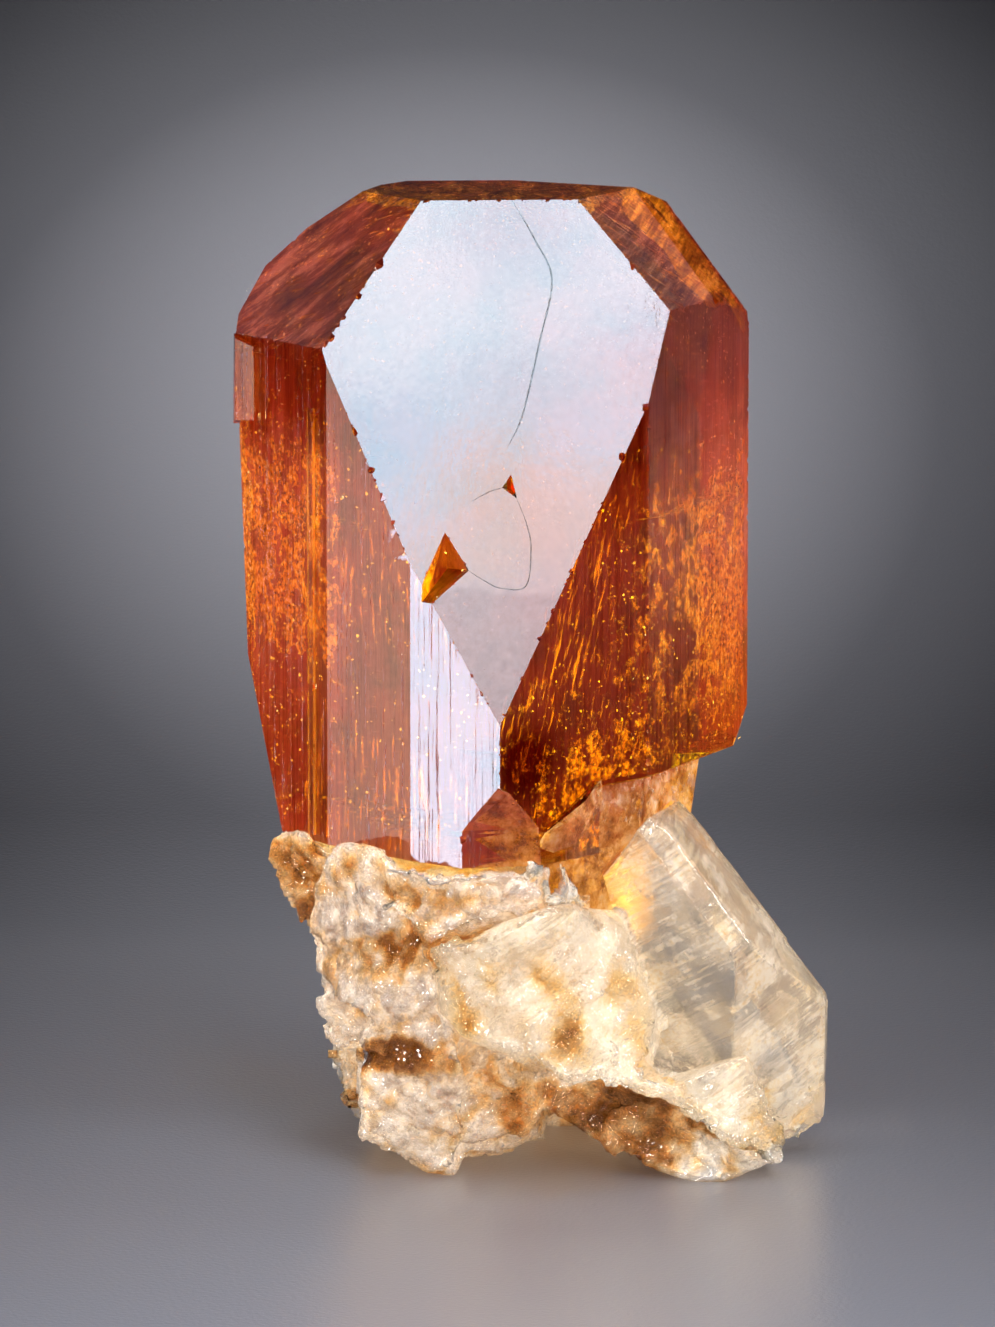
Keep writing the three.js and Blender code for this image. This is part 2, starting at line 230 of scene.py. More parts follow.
def soft_box(name, at, towards, width, height, radiance, colour=(1, 1, 1), mirrored=True, hood=180):
    """A rectangular area light. Power = pi * radiance * width * height. One that isn't
    mirrored lights the crystal without its picture on the glossy faces, and a hood
    narrows the light's cone to an angle in degrees."""
    light = bpy.data.lights.new(name, "AREA")
    light.shape = "RECTANGLE"
    light.size, light.size_y = width * MM, height * MM
    light.energy = math.pi * radiance * light.size * light.size_y
    light.color = colour
    light.spread = math.radians(hood)
    lamp = linked_object(name, light)
    lamp.location = Vector(at) * MM
    lamp.rotation_euler = (Vector(towards) - Vector(at)).to_track_quat("-Z", "Y").to_euler()
    lamp.visible_glossy = mirrored
    lamp.visible_camera = False
    return lamp


# The diffuser is a flat sheet that faces a point: its corners lie at +- side +- up.
FRONT_AT, FRONT_TOWARDS = (36, -290, 355), (-2, -15, 65)
FRONT_WIDTH, FRONT_TALL, FRONT_RADIANCE = 80, 116, 14.5
WARP = 0.024
facing = Vector(FRONT_TOWARDS) - Vector(FRONT_AT)
side = facing.cross(Vector((0, 0, 1))).normalized() * FRONT_WIDTH / 2
up = side.cross(facing).normalized() * FRONT_TALL / 2
front_diffuser = new_object("front_diffuser", [
    Vector(FRONT_AT) + across * side + upward * up
    for across, upward in ((-1, -1), (1, -1), (1, 1), (-1, 1))], [(0, 1, 2, 3)])
front_diffuser.visible_camera = False
cloth, tree, shader = new_material("diffuser_cloth", {
    "Base Color": (0, 0, 0, 1), "Specular IOR Level": 0, "Emission Strength": FRONT_RADIANCE})
place = object_place(tree)
height = map_range(tree, axis_of(tree, place, "Z"), 0.315, 0.395)
height = swing(tree, noise(tree, place, 26, 4, 0.55, (1.5, 1, 1), twist=0.6), 2.4, height)
tone = ramp(tree, height, [
    (0.05, (0.66, 0.58, 0.62)), (0.3, (0.7, 0.62, 0.64)), (0.52, (0.86, 0.74, 0.73)),
    (0.7, (0.74, 0.76, 0.88)), (0.84, (0.64, 0.84, 1.0)), (1, (0.84, 1.0, 1.12))])
# Soft coloured patches, each a place (x, z), radii and a colour. Half the warp is added to each
# place, because that is the mean by which the noise moves the pattern.
warp = add_node(tree, "TexNoise", {"Vector": place, "Scale": 90, "Detail": 4}).outputs["Color"]
drifted = vector_maths(tree, "ADD", place, vector_maths(tree, "MULTIPLY", warp, (WARP, 0, WARP)))
for x, z, wide, high, colour in (
        (26, 364, 11, 9, (0.55, 0.8, 1.0)), (24, 355, 9, 8, (0.6, 0.8, 1.0)),
        (41, 349, 8, 4, (0.6, 0.72, 0.92)), (47, 371, 9, 7, (0.58, 0.7, 0.82)),
        (45, 358, 10, 7, (0.8, 0.62, 0.55)), (38, 351, 7, 3, (0.85, 0.74, 0.66)),
        (33, 360, 3, 3, (1.05, 0.95, 0.82))):
    shift = WARP / 2 / MM
    patch = spot(tree, drifted, (x + shift, FRONT_AT[1], z + shift), (wide, 4000, high), 0.1)
    tone = blend(tree, patch, tone, colour)
tree.links.new(tone, shader.inputs["Emission Color"])
front_diffuser.data.materials.append(cloth)

PALE_LAMPS = (
    ("pale_left", (-230, -330, 190), 60, 90, 70), ("pale_right", (290, -190, 110), 60, 80, 40),
    ("pale_low", (60, -420, 60), 60, 40, 24), ("pale_high", (60, -330, 330), 90, 60, 34),
    ("pale_back_left", (-190, 190, 110), 120, 160, 26))
pale_lamps = [
    soft_box(name, at, (6, -14, 14), width, height, radiance)
    for name, at, width, height, radiance in PALE_LAMPS]
golden_lamps = [
    soft_box("left_card", (-105, -48, 40), (0, -48, 40), 54, 90, 14.0, (0.64, 0.82, 1)),
    soft_box("left_dim_card", (-105, -4, 40), (0, -4, 40), 32, 90, 2.6, (1, 0.78, 0.62)),
    soft_box("back_left_box", (-190, 190, 110), (0, 10, 50), 150, 220, 48, mirrored=False),
    soft_box("back_right_box", (190, 170, 110), (0, 10, 50), 150, 220, 58, mirrored=False)]
FILL_LAMPS = (
    ("top_box", (-20, -120, 420), (0, 20, 30), 220, 220, 6),
    ("left_fill", (-160, -420, 170), (0, -10, 20), 140, 140, 2),
    ("right_fill", (240, -330, 110), (0, -10, 20), 140, 140, 11),
    ("low_fill", (20, -520, 60), (10, -10, 12), 120, 60, 6))
for name, at, towards, width, height, radiance in FILL_LAMPS:
    soft_box(name, at, towards, width, height, radiance, mirrored=False)
soft_box("backdrop_box", (0, 120, 420), (-10, 260, 60), 200, 100, 4.5, mirrored=False, hood=100)

# The flags are seen by glossy rays alone.
FLAG_HEIGHT = 320
black_cloth, _, _ = new_material("black_cloth", {
    "Base Color": (0.005, 0.005, 0.005, 1), "Roughness": 1, "Specular IOR Level": 0})
for name, x, near, far in (("right_flag", 108, -70, 260), ("left_flag", -106, 15, 260)):
    corners = [(x, near, 0), (x, far, 0), (x, far, FLAG_HEIGHT), (x, near, FLAG_HEIGHT)]
    flag = new_object(name, corners, [(0, 3, 2, 1)])
    flag.data.materials.append(black_cloth)
    flag.visible_camera = flag.visible_diffuse = False
    flag.visible_transmission = flag.visible_shadow = False


# ---- Topaz -----------------------------------------------
# One grown crystal of sherry topaz: clear glassy faces in front, etched and cloudy faces at
# the back where it grew against its neighbours, small chips along its edges and a crack that
# runs down the broad sloping face.

GROWTH = np.array([-0.23, -1.35, 0])  # from the crystal's growth frame to the part's
DOME_NORMAL = np.array([0.0618, -0.8841, 0.4633])
TOPAZ_IOR = 1.62
SHARP_EDGE = 12  # degrees
EDGE_ROUND = 0.07
CHIP_SPACING, CHIP_SMALLEST, CHIP_LARGEST = 0.9, 0.1, 0.75
topaz_random = np.random.default_rng(41)


def merged_mesh(node):
    """A bmesh of a CAD node with its loose corners merged and its flat faces made whole."""
    shape = bmesh.new()
    shape.from_mesh(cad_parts[node].data)
    bmesh.ops.remove_doubles(shape, verts=shape.verts, dist=0.002 * MM)
    bmesh.ops.dissolve_limit(
        shape, angle_limit=math.radians(0.3), verts=shape.verts, edges=shape.edges)
    return shape


def sharp_edges(shape):
    return [edge for edge in shape.edges
            if len(edge.link_faces) == 2
            and edge.calc_face_angle_signed(0) > math.radians(SHARP_EDGE)]


def crystal_edges(shape, shortest):
    """The ends in mm and outward directions of the long sharp edges."""
    found = [edge for edge in sharp_edges(shape) if edge.calc_length() > shortest * MM]
    ends = np.array([[list(vert.co) for vert in edge.verts] for edge in found]) / MM
    out = np.array([list((edge.link_faces[0].normal + edge.link_faces[1].normal).normalized())
                    for edge in found])
    return ends, out


def face_planes(shape, least_area, least_top, above, proudest):
    """Normals and distances in mm of the large faces that reach a height and are outermost:
    no corner above a level stands further proud of them than a given distance."""
    large = [face for face in shape.faces
             if face.calc_area() > least_area * MM * MM
             and max(vert.co.z for vert in face.verts) > least_top * MM]
    corners = np.array([list(vert.co) for vert in shape.verts if vert.co.z > above * MM]) / MM
    normals = np.array([list(face.normal) for face in large])
    distances = np.array([face.normal.dot(face.verts[0].co) for face in large]) / MM
    outermost = (corners @ normals.T).max(axis=0) - distances < proudest
    return normals[outermost], distances[outermost]


ICO = bmesh.new()
bmesh.ops.create_icosphere(ICO, subdivisions=1, radius=1)
ICO_POINTS = np.array([list(vert.co) for vert in ICO.verts])
ICO_FACES = np.array([[vert.index for vert in face.verts] for face in ICO.faces])
ICO.free()


def blobs(random, centres, sizes):
    """Points and faces of one irregular twenty-sided blob at each centre.
    point = centre + size * turn(stretch * corner * (1 + noise)), and each turn is the Q of the
    QR split of a normal random matrix."""
    count = len(centres)
    rough = ICO_POINTS * (1 + random.uniform(-0.25, 0.2, (count, len(ICO_POINTS), 1)))
    stretch = random.uniform(0.5, 1.3, (count, 1, 3))
    turns, _ = np.linalg.qr(random.normal(size=(count, 3, 3)))
    turns[np.linalg.det(turns) < 0] *= -1
    points = np.einsum("nij,nkj->nki", turns, rough * stretch)
    points = centres[:, None] + sizes[:, None, None] * points
    faces = ICO_FACES[None] + (np.arange(count) * len(ICO_POINTS))[:, None, None]
    return points.reshape(-1, 3), faces.reshape(-1, 3).tolist()


def edge_chips(random, ends, out):
    """Blobs strung along edges at about the chip spacing, bedded so that they bite the corner."""
    centres, sizes = [], []
    for (start, end), outward in zip(ends, out):
        length = np.linalg.norm(end - start)
        number = max(1, int(length / CHIP_SPACING))
        along = (np.arange(number) + random.uniform(0.15, 0.85, number)) / number
        size = CHIP_SMALLEST + (CHIP_LARGEST - CHIP_SMALLEST) * random.random(number) ** 2.5
        centres.append(start + along[:, None] * (end - start) + 0.55 * size[:, None] * outward)
        sizes.append(size)
    return blobs(random, np.concatenate(centres), np.concatenate(sizes))


def groove(path, normal, width, depth):
    """A closed wedge along a path on a face: its mouth of the given width just outside the
    face, its tip at the given depth, tapering to points at both ends."""
    side = np.cross(np.gradient(path, axis=0), normal)
    side /= np.linalg.norm(side, axis=1)[:, None]
    along = np.linspace(0, 1, len(path))
    taper = np.minimum(1, 4 * np.minimum(along, along[::-1]) + 0.25)
    half = 0.5 * width * taper[:, None] * side
    mouth = path + 0.05 * normal
    ring = np.stack([mouth + half, mouth - half, path - depth * normal], 1)
    rows = np.arange(len(path) * 3).reshape(-1, 3).tolist()
    faces = [(row[a], row[b], after[b], after[a])
             for row, after in zip(rows, rows[1:]) for a, b in ((0, 1), (1, 2), (2, 0))]
    return ring.reshape(-1, 3), faces + [rows[0][::-1], rows[-1]]


def smooth_path(points, steps=10):
    """A Catmull-Rom curve through points: p(t) = sum of basis(t) * the four nearest points."""
    p = np.concatenate([[2 * points[0] - points[1]], points, [2 * points[-1] - points[-2]]])
    t = np.linspace(0, 1, steps, endpoint=False)[:, None]
    spans = [
        0.5 * (2 * b + (c - a) * t + (2 * a - 5 * b + 4 * c - d) * t**2
               + (3 * b - a - 3 * c + d) * t**3)
        for a, b, c, d in zip(p[:-3], p[1:-2], p[2:-1], p[3:])]
    return np.concatenate(spans + [points[-1:]])


def apply_modifiers(piece):
    bpy.context.view_layer.update()
    shaped = piece.evaluated_get(bpy.context.evaluated_depsgraph_get())
    mesh = bpy.data.meshes.new_from_object(shaped)
    piece.modifiers.clear()
    piece.data = mesh


def cut_away(piece, cutter):
    """Cuts the cutter out of the piece and removes the cutter."""
    cut = piece.modifiers.new("cut", "BOOLEAN")
    cut.operation = "DIFFERENCE"
    cut.object = cutter
    cut.solver = "MANIFOLD"
    apply_modifiers(piece)
    bpy.data.objects.remove(cutter)


def object_from(name, shape):
    """An object from a bmesh, which is freed."""
    mesh = bpy.data.meshes.new(name)
    shape.to_mesh(mesh)
    shape.free()
    return linked_object(name, mesh)


# The faces are cut into squares and triangles small enough for clean cuts by the chips.
shape = merged_mesh("topaz_crystal")
topaz_ends, topaz_out = crystal_edges(shape, 2)
topaz_planes = face_planes(shape, 15, 36, 39, 1.2)
bmesh.ops.bevel(shape, geom=sharp_edges(shape), offset=EDGE_ROUND * MM, segments=2, profile=0.6,
                affect="EDGES", clamp_overlap=True)
for axis in range(3):
    for level in np.arange(-28.3, 86, 2.9):
        bmesh.ops.bisect_plane(
            shape, geom=shape.verts[:] + shape.edges[:] + shape.faces[:],
            plane_co=[level * MM] * 3, plane_no=[float(k == axis) for k in range(3)])
bmesh.ops.triangulate(shape, faces=shape.faces)
topaz = object_from("topaz", shape)

heights = topaz_ends[:, :, 2]
chipped = (heights.min(axis=1) > 37) | (np.ptp(heights, axis=1) > 3)
chips = new_object("chips", *edge_chips(topaz_random, topaz_ends[chipped], topaz_out[chipped]))
cut_away(topaz, chips)

DOME_FOOT = np.array([-2.32, -25, 42.59]) + GROWTH
CRACKS = (
    ("upper_crack", 0.2, 0.4, [
        (-1.51, -2.02, 86.32), (0.53, -3.67, 82.92), (2.03, -5.34, 79.53), (0.96, -8.05, 74.49),
        (-0.55, -11.35, 68.39), (-1.88, -12.92, 65.57)]),
    ("lower_crack", 0.14, 0.3, [
        (-1.09, -15.13, 61.25), (-0.25, -16.2, 59.2), (0.13, -17.17, 57.2),
        (-0.31, -18.84, 54.08), (-2.58, -19.07, 53.93), (-3.89, -18.86, 54.52),
        (-5.29, -18.52, 55.35)]),
    ("side_crack", 0.12, 0.3, [(-2.4, -14.74, 62.18), (-3.4, -14.9, 61.9), (-5.04, -15.48, 61.12)]))


def on_dome(points):
    """Points of the growth frame, moved along the dome's normal onto its plane."""
    points = np.array(points) + GROWTH
    offset = (points - DOME_FOOT) @ DOME_NORMAL
    return points - offset[:, None] * DOME_NORMAL


crack_paths = []
for name, width, depth, points in CRACKS:
    crack_paths.append(smooth_path(on_dome(points)))
    cut_away(topaz, new_object(name, *groove(crack_paths[-1], DOME_NORMAL, width, depth)))


def lit_through(tree, tint):
    """Lets light reach what is inside: straight on for shadow rays, tinted at each face."""
    clear = add_node(tree, "BsdfTransparent", {"Color": (*tint, 1)})
    shadow = add_node(tree, "LightPath").outputs["Is Shadow Ray"]
    whole = tree.nodes["Material Output"].inputs["Surface"].links[0].from_node
    mix_surface(tree, shadow, whole, clear)


def coloured_body(tree, colour, density):
    """Fills the crystal with a colour that deepens with the way that light goes through it."""
    absorb = add_node(tree, "VolumeAbsorption", {"Color": (*colour, 1), "Density": density})
    tree.links.new(absorb.outputs[0], tree.nodes["Material Output"].inputs["Volume"])


SHERRY, SHERRY_DENSITY = (0.965, 0.904, 0.01), 250


def broken_facets_group():
    """A node group for broken crystal: the height of small flat facets, and a fine mottle."""
    group = bpy.data.node_groups.new("broken_facets", "ShaderNodeTree")
    for name, direction, kind in (
            ("Vector", "INPUT", "NodeSocketVector"), ("Size", "INPUT", "NodeSocketFloat"),
            ("Height", "OUTPUT", "NodeSocketFloat"), ("Mottle", "OUTPUT", "NodeSocketFloat")):
        group.interface.new_socket(name, in_out=direction, socket_type=kind)
    into = group.nodes.new("NodeGroupInput")
    out = group.nodes.new("NodeGroupOutput")
    place = into.outputs["Vector"]
    warp = add_node(group, "TexNoise", {"Vector": place, "Scale": 700, "Detail": 3}).outputs["Color"]
    warp = vector_maths(group, "MULTIPLY", warp, (0.0006, 0.0006, 0.0006))
    warped = vector_maths(group, "ADD", place, warp)
    total = 0.0
    for factor, lean in ((1.0, 0.5), (0.36, 0.5), (0.13, 0.4)):
        scale = maths(group, "DIVIDE", 1 / (factor * MM), into.outputs["Size"])
        cells = add_node(group, "TexVoronoi", {"Vector": warped, "Scale": scale})
        away = vector_maths(group, "SUBTRACT", warped, cells.outputs["Position"])
        tilt = vector_maths(group, "SUBTRACT", cells.outputs["Color"], (0.5, 0.5, 0.5))
        slope = add_node(group, "VectorMath", {0: away, 1: tilt}, operation="DOT_PRODUCT")
        total = maths(group, "MULTIPLY_ADD", slope.outputs["Value"], lean, total)
    group.links.new(total, out.inputs["Height"])
    group.links.new(noise(group, place, 2.2, 6, 0.7), out.inputs["Mottle"])
    return group


BROKEN_FACETS = broken_facets_group()


def broken_facets(tree, place, size):
    """The broken-facet group on a material, its largest facets of a size in millimetres."""
    made = tree.nodes.new("ShaderNodeGroup")
    made.node_tree = BROKEN_FACETS
    tree.links.new(place, made.inputs["Vector"])
    made.inputs["Size"].default_value = size
    return made


def sherry_face(name, roughness, tone, line_size, line_depth, drawn_out, grooved=False):
    """A clear face with its own tint. Its growth lines are a noise drawn out along the crystal,
    deeper where the noise is high if the face is grooved."""
    material, tree, shader = new_material(name, {
        "Transmission Weight": 0.985, "IOR": TOPAZ_IOR, "Roughness": roughness})
    place = object_place(tree)
    tree.links.new(tone(tree, place), shader.inputs["Base Color"])
    lines = noise(tree, place, line_size, 5, 0.7, (1, 1, drawn_out))
    if grooved:
        lines = maths(tree, "ADD", lines, map_range(tree, lines, 0.6, 0.64, 0, 2.5))
    add_bump(tree, shader, lines, line_depth * MM)
    lit_through(tree, (0.97, 0.9, 0.6))
    coloured_body(tree, SHERRY, SHERRY_DENSITY)
    return material


def prism_tone(tree, place):
    """Dark brown grown zones above, clear orange in the middle and brown near the base,
    broken by level bands and fine upright streaks."""
    height = swing(tree, noise(tree, place, 9, 5, 0.6), 0.012, axis_of(tree, place, "Z"))
    height = swing(tree, noise(tree, place, 0.9, 6, 0.7, (1, 1, 14)), 0.016, height)
    height = map_range(tree, height, 0.028, 0.088)
    right = ramp(tree, height, [
        (0.0, (0.95, 0.85, 0.4)), (0.12, (0.75, 0.55, 0.15)), (0.25, (0.98, 0.9, 0.5)),
        (0.45, (1, 0.97, 0.7)), (0.56, (0.8, 0.62, 0.25)), (0.66, (0.3, 0.19, 0.04)),
        (0.78, (0.12, 0.07, 0.01)), (1.0, (0.12, 0.06, 0.01))])
    left = ramp(tree, height, [
        (0.0, (0.8, 0.65, 0.3)), (0.15, (0.8, 0.62, 0.25)), (0.3, (1, 0.9, 0.6)),
        (0.56, (1, 0.97, 0.7)), (0.66, (0.3, 0.2, 0.06)), (0.8, (0.08, 0.04, 0.01)),
        (1.0, (0.06, 0.03, 0.006))])
    fine = ramp(tree, noise(tree, place, 0.45, 5, 0.7, (1, 1, 28)), [
        (0.38, (0.3, 0.2, 0.1)), (0.52, (0.85, 0.8, 0.7)), (0.6, (1, 1, 1))])
    both = blend(tree, map_range(tree, axis_of(tree, place, "X"), -0.008, -0.002), left, right)
    burgundy = spot(tree, place, (-0.6, -24, 39), (6, 8, 5.5))
    both = blend(tree, burgundy, both, (0.12, 0.02, 0.01))
    return blend(tree, 0.75, both, fine, "MULTIPLY")


def pyramid_tone(tree, place):
    """Dark red-brown with lighter brush strokes that rise to the right."""
    strokes = noise(tree, place, 1.1, 8, 0.75, (9, 9, 1), (0, 38, 0), 0.3)
    return ramp(tree, strokes, [
        (0.38, (0.04, 0.02, 0.005)), (0.5, (0.2, 0.12, 0.02)), (0.6, (0.85, 0.68, 0.25)),
        (0.7, (1, 0.93, 0.6))])


def dome_tone(tree, place):
    """Smoky brown, a little paler in places, under the mirror-bright face."""
    return ramp(tree, noise(tree, place, 6, 6, 0.6), [
        (0.35, (0.05, 0.025, 0.015)), (0.6, (0.2, 0.1, 0.05))])


topaz_prism = sherry_face("topaz_prism", 0.035, prism_tone, 0.35, 0.006, 60, grooved=True)
topaz_pyramid = sherry_face("topaz_pyramid", 0.05, pyramid_tone, 0.6, 0.01, 1)
topaz_dome = sherry_face("topaz_dome", 0.04, dome_tone, 1.6, 0.012, 8)

# The lower part of the dome, below a wavy line, is etched to a grainy matte.
tree = topaz_dome.node_tree
place = object_place(tree)
level = maths(tree, "MULTIPLY_ADD", noise(tree, place, 4, 6, 0.6), 0.006,
              axis_of(tree, place, "Z"))
grains = maths(tree, "ADD", noise(tree, place, 0.5, 5, 0.7), 0.4)
matte = maths(tree, "MULTIPLY", map_range(tree, level, 0.0575, 0.0565, 0.035, 0.2), grains)
tree.links.new(matte, tree.nodes["Principled BSDF"].inputs["Roughness"])


def cloudy_face(name, clear, roughness, pattern, colours, glow, tint):
    """A less clear face whose colours run with a pattern, and which lets a share of the light
    through as a glow."""
    material, tree, shader = new_material(name, {
        "Transmission Weight": clear, "IOR": TOPAZ_IOR, "Roughness": roughness})
    colour = ramp(tree, pattern(tree, shader), colours)
    tree.links.new(colour, shader.inputs["Base Color"])
    mix_surface(tree, glow, shader, add_node(tree, "BsdfTranslucent", {"Color": colour}))
    lit_through(tree, tint)
    coloured_body(tree, SHERRY, SHERRY_DENSITY)
    return material


def splintered(tree, shader):
    splinters = broken_facets(tree, object_place(tree), 1.6)
    add_bump(tree, shader, splinters.outputs["Height"])
    return splinters.outputs["Mottle"]


def etched(tree, shader):
    return noise(tree, object_place(tree), 5, 9, 0.68, twist=0.3)


topaz_splinter = cloudy_face("topaz_splinter", 0.75, 0.12, splintered, [
    (0.36, (0.2, 0.07, 0.005)), (0.46, (0.55, 0.3, 0.05)), (0.55, (0.85, 0.6, 0.2)),
    (0.65, (0.95, 0.85, 0.5))], 0.2, (0.8, 0.7, 0.55))
topaz_etched = cloudy_face("topaz_etched", 0.95, 0.3, etched, [
    (0.34, (0.35, 0.17, 0.02)), (0.46, (0.75, 0.5, 0.14)), (0.56, (0.96, 0.78, 0.3)),
    (0.68, (1, 0.9, 0.5))], 0.5, (0.78, 0.7, 0.4))
crack_brown, _, _ = new_material("crack_brown", {
    "Base Color": (0.05, 0.03, 0.025, 1), "Roughness": 0.5, "Specular IOR Level": 0.2})

PRISM, ETCHED, DOME, PYRAMID, CRACK, SPLINTER = range(6)
topaz.data.materials.clear()
for material in (
        topaz_prism, topaz_etched, topaz_dome, topaz_pyramid, crack_brown, topaz_splinter):
    topaz.data.materials.append(material)
faces = topaz.data.polygons
normals, centres = np.empty((2, len(faces) * 3), np.float32)
faces.foreach_get("normal", normals)
faces.foreach_get("center", centres)
normals, centres = normals.reshape(-1, 3), centres.reshape(-1, 3) / MM
towards_dome = normals @ DOME_NORMAL
kind = np.where(normals[:, 1] > 0.2, ETCHED, PRISM)
kind[towards_dome > 0.985] = DOME
kind[(normals[:, 2] > 0.55) & (normals[:, 1] < 0.3)] = PYRAMID
off_crack = np.linalg.norm(centres[:, None] - np.concatenate(crack_paths), axis=2).min(axis=1)
kind[(off_crack < 0.75) & (towards_dome < 0.9)] = CRACK
upright = np.abs(topaz_planes[0][:, 2]) < 0.2
prism_normals, prism_distances = (values[upright] for values in topaz_planes)
on_prism = ((normals @ prism_normals.T > 0.999)
            & (np.abs(centres @ prism_normals.T - prism_distances) < 0.3)).any(axis=1)
kind[(centres[:, 2] < 41) & (centres[:, 0] > -4) & (kind == PRISM) & ~on_prism] = SPLINTER
kind[(centres[:, 2] < 35.5) & (centres[:, 0] > 6)] = SPLINTER
faces.foreach_set("material_index", kind.astype(np.int32))
golden_pieces = bpy.data.collections.new("golden_pieces")
golden_pieces.objects.link(topaz)
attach(topaz, "root")
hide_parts("topaz_crystal")


# ---- Inclusions in the topaz -----------------------------
# Clouds and streaks of fine golden films under the faces, level cleavage veils across the
# crystal, and thousands of loose golden flakes and pale specks. They all lie inside it.

BASE_LOW, BASE_HIGH, BASE_STEP = 29.6, 35.6, 5.8
SHEET_REACH, SHEET_PITCH = 38, 0.45
STREAK_UV = 10  # the streaks' UV map is in metres times this
LEAST_SHOWN = 0.02  # a film or veil has no mesh where it would show less than this
inclusion_random = np.random.default_rng(7)


def depth_inside(points):
    """How deep each point lies under the topaz's nearest face, min(d - n . p), or over its
    base, which is higher right of the step."""
    normals, distances = topaz_planes
    base = np.where(points[:, 0] < BASE_STEP, BASE_LOW, BASE_HIGH)
    return np.minimum((distances - points @ normals.T).min(axis=1), points[:, 2] - base)


def swell(points, size, random, waves=24):
    """Smooth cloudy noise about 0: sqrt(2/n) * sum of sin(k . p + phase), |k| near 2 pi / size."""
    directions = random.normal(size=(waves, 3))
    directions /= np.linalg.norm(directions, axis=1)[:, None]
    k = directions * (2 * math.pi / size) * random.uniform(0.6, 1.6, (waves, 1))
    phase = random.uniform(0, 2 * math.pi, waves)
    return np.sqrt(2 / waves) * np.sin(points @ k.T + phase).sum(axis=1)


def rise(value, start, end):
    """0 before start, 1 after end, smooth between: t * t * (3 - 2 * t)."""
    t = np.clip((value - start) / (end - start), 0, 1)
    return t * t * (3 - 2 * t)


def band(value, start, full, fade, end):
    return rise(value, start, full) * (1 - rise(value, fade, end))


def keep_value(piece, name, values):
    kept = piece.data.attributes.new(name, "FLOAT", "POINT")
    kept.data.foreach_set("value", values.astype(np.float32))


def kept_value(tree, name):
    """Reads in a material what keep_value has kept on the piece's points."""
    return add_node(tree, "Attribute", attribute_name=name).outputs["Fac"]


def inner_sheet(azimuth, tilt, depth, waviness, lean, cover):
    """Points, quads, cover and streak coordinates of a wavy sheet at a depth under the face
    that looks that way: point = face point - normal * (depth + waviness * swell). The streaks
    lean to the right by an angle."""
    a, t = math.radians(azimuth), math.radians(tilt)
    facing = np.array([math.sin(a) * math.sin(t), -math.cos(a) * math.sin(t), math.cos(t)])
    normals, distances = topaz_planes
    nearest = (normals @ facing).argmax()
    normal, distance = normals[nearest], distances[nearest]
    across = np.array([math.cos(a), math.sin(a), 0])
    up = np.cross(normal, across)
    middle = np.array([-3.2, 0.2, 56])
    middle = middle + (distance - normal @ middle) * normal
    steps = np.arange(-SHEET_REACH, SHEET_REACH + SHEET_PITCH, SHEET_PITCH)
    s, h = (grid.ravel() for grid in np.meshgrid(steps, steps))
    flat = middle + s[:, None] * across + h[:, None] * up
    points = flat - (depth + waviness * swell(flat, 9, inclusion_random))[:, None] * normal
    inside = depth_inside(points)
    index = np.arange(len(points)).reshape(len(steps), len(steps))
    quads = np.stack([index[:-1, :-1], index[:-1, 1:], index[1:, 1:], index[1:, :-1]], -1)
    quads = quads.reshape(-1, 4)
    weight = np.clip(cover(points), 0, 1) * rise(inside, 0.15, 0.6)
    quads = quads[(inside[quads].min(axis=1) > 0.12) & (weight[quads].max(axis=1) > LEAST_SHOWN)]
    used, quads = np.unique(quads, return_inverse=True)
    cos, sin = math.cos(math.radians(lean)), math.sin(math.radians(lean))
    streak = np.stack([s * cos - h * sin, s * sin + h * cos], -1)
    return points[used], quads.reshape(-1, 4), weight[used], streak[used]


def inner_piece(name, points, faces, material, lit_group):
    """A piece inside a crystal, in the group of pieces that the same lamps light."""
    piece = new_object(name, points, faces)
    piece.data.materials.append(material)
    lit_group.objects.link(piece)
    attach(piece, "root")
    return piece


def joined_sheets(name, sheets, material):
    """One piece from several sheets, with "cover" as an attribute and streaks as its UV map."""
    points, quads, covers, streaks = zip(*sheets)
    starts = np.cumsum([0] + [len(part) for part in points[:-1]])
    quads = np.concatenate([part + start for part, start in zip(quads, starts)])
    piece = inner_piece(
        name, np.concatenate(points), quads.tolist(), material, golden_pieces)
    keep_value(piece, "cover", np.concatenate(covers))
    uvs = np.concatenate(streaks)[quads.ravel()] * STREAK_UV * MM
    piece.data.uv_layers.new(name="streaks").data.foreach_set("uv", uvs.astype(np.float32).ravel())
    piece.data.shade_smooth()


def film_surface(tree, shader, level, softness, strength, colour, glow):
    """A matt film with a share of light that glows through it. It shows, up to its strength,
    where level rises softly past 0.5, and is clear elsewhere."""
    shown = map_range(tree, level, 0.5 - softness, 0.5 + softness, 0, strength, "SMOOTHSTEP")
    tree.links.new(colour, shader.inputs["Base Color"])
    film = mix_surface(tree, glow, shader, add_node(tree, "BsdfTranslucent", {"Color": colour}))
    mix_surface(tree, shown, add_node(tree, "BsdfTransparent"), film)


def film_material(name, streaked, size, stretch, softness, strength, colours):
    """A thin golden film that shows where its cover and a noise are high."""
    material, tree, shader = new_material(name, {"Roughness": 0.5, "Specular IOR Level": 0.0})
    if streaked:
        place = add_node(tree, "UVMap", uv_map="streaks").outputs[0]
        size = size * STREAK_UV
    else:
        place = object_place(tree)
    level = swing(tree, noise(tree, place, size, 6, 0.72, stretch), 3.2, kept_value(tree, "cover"))
    colour = ramp(tree, noise(tree, place, size * 0.3, 4, 0.6, stretch), colours)
    film_surface(tree, shader, level, softness, strength, colour, 0.9)
    return material


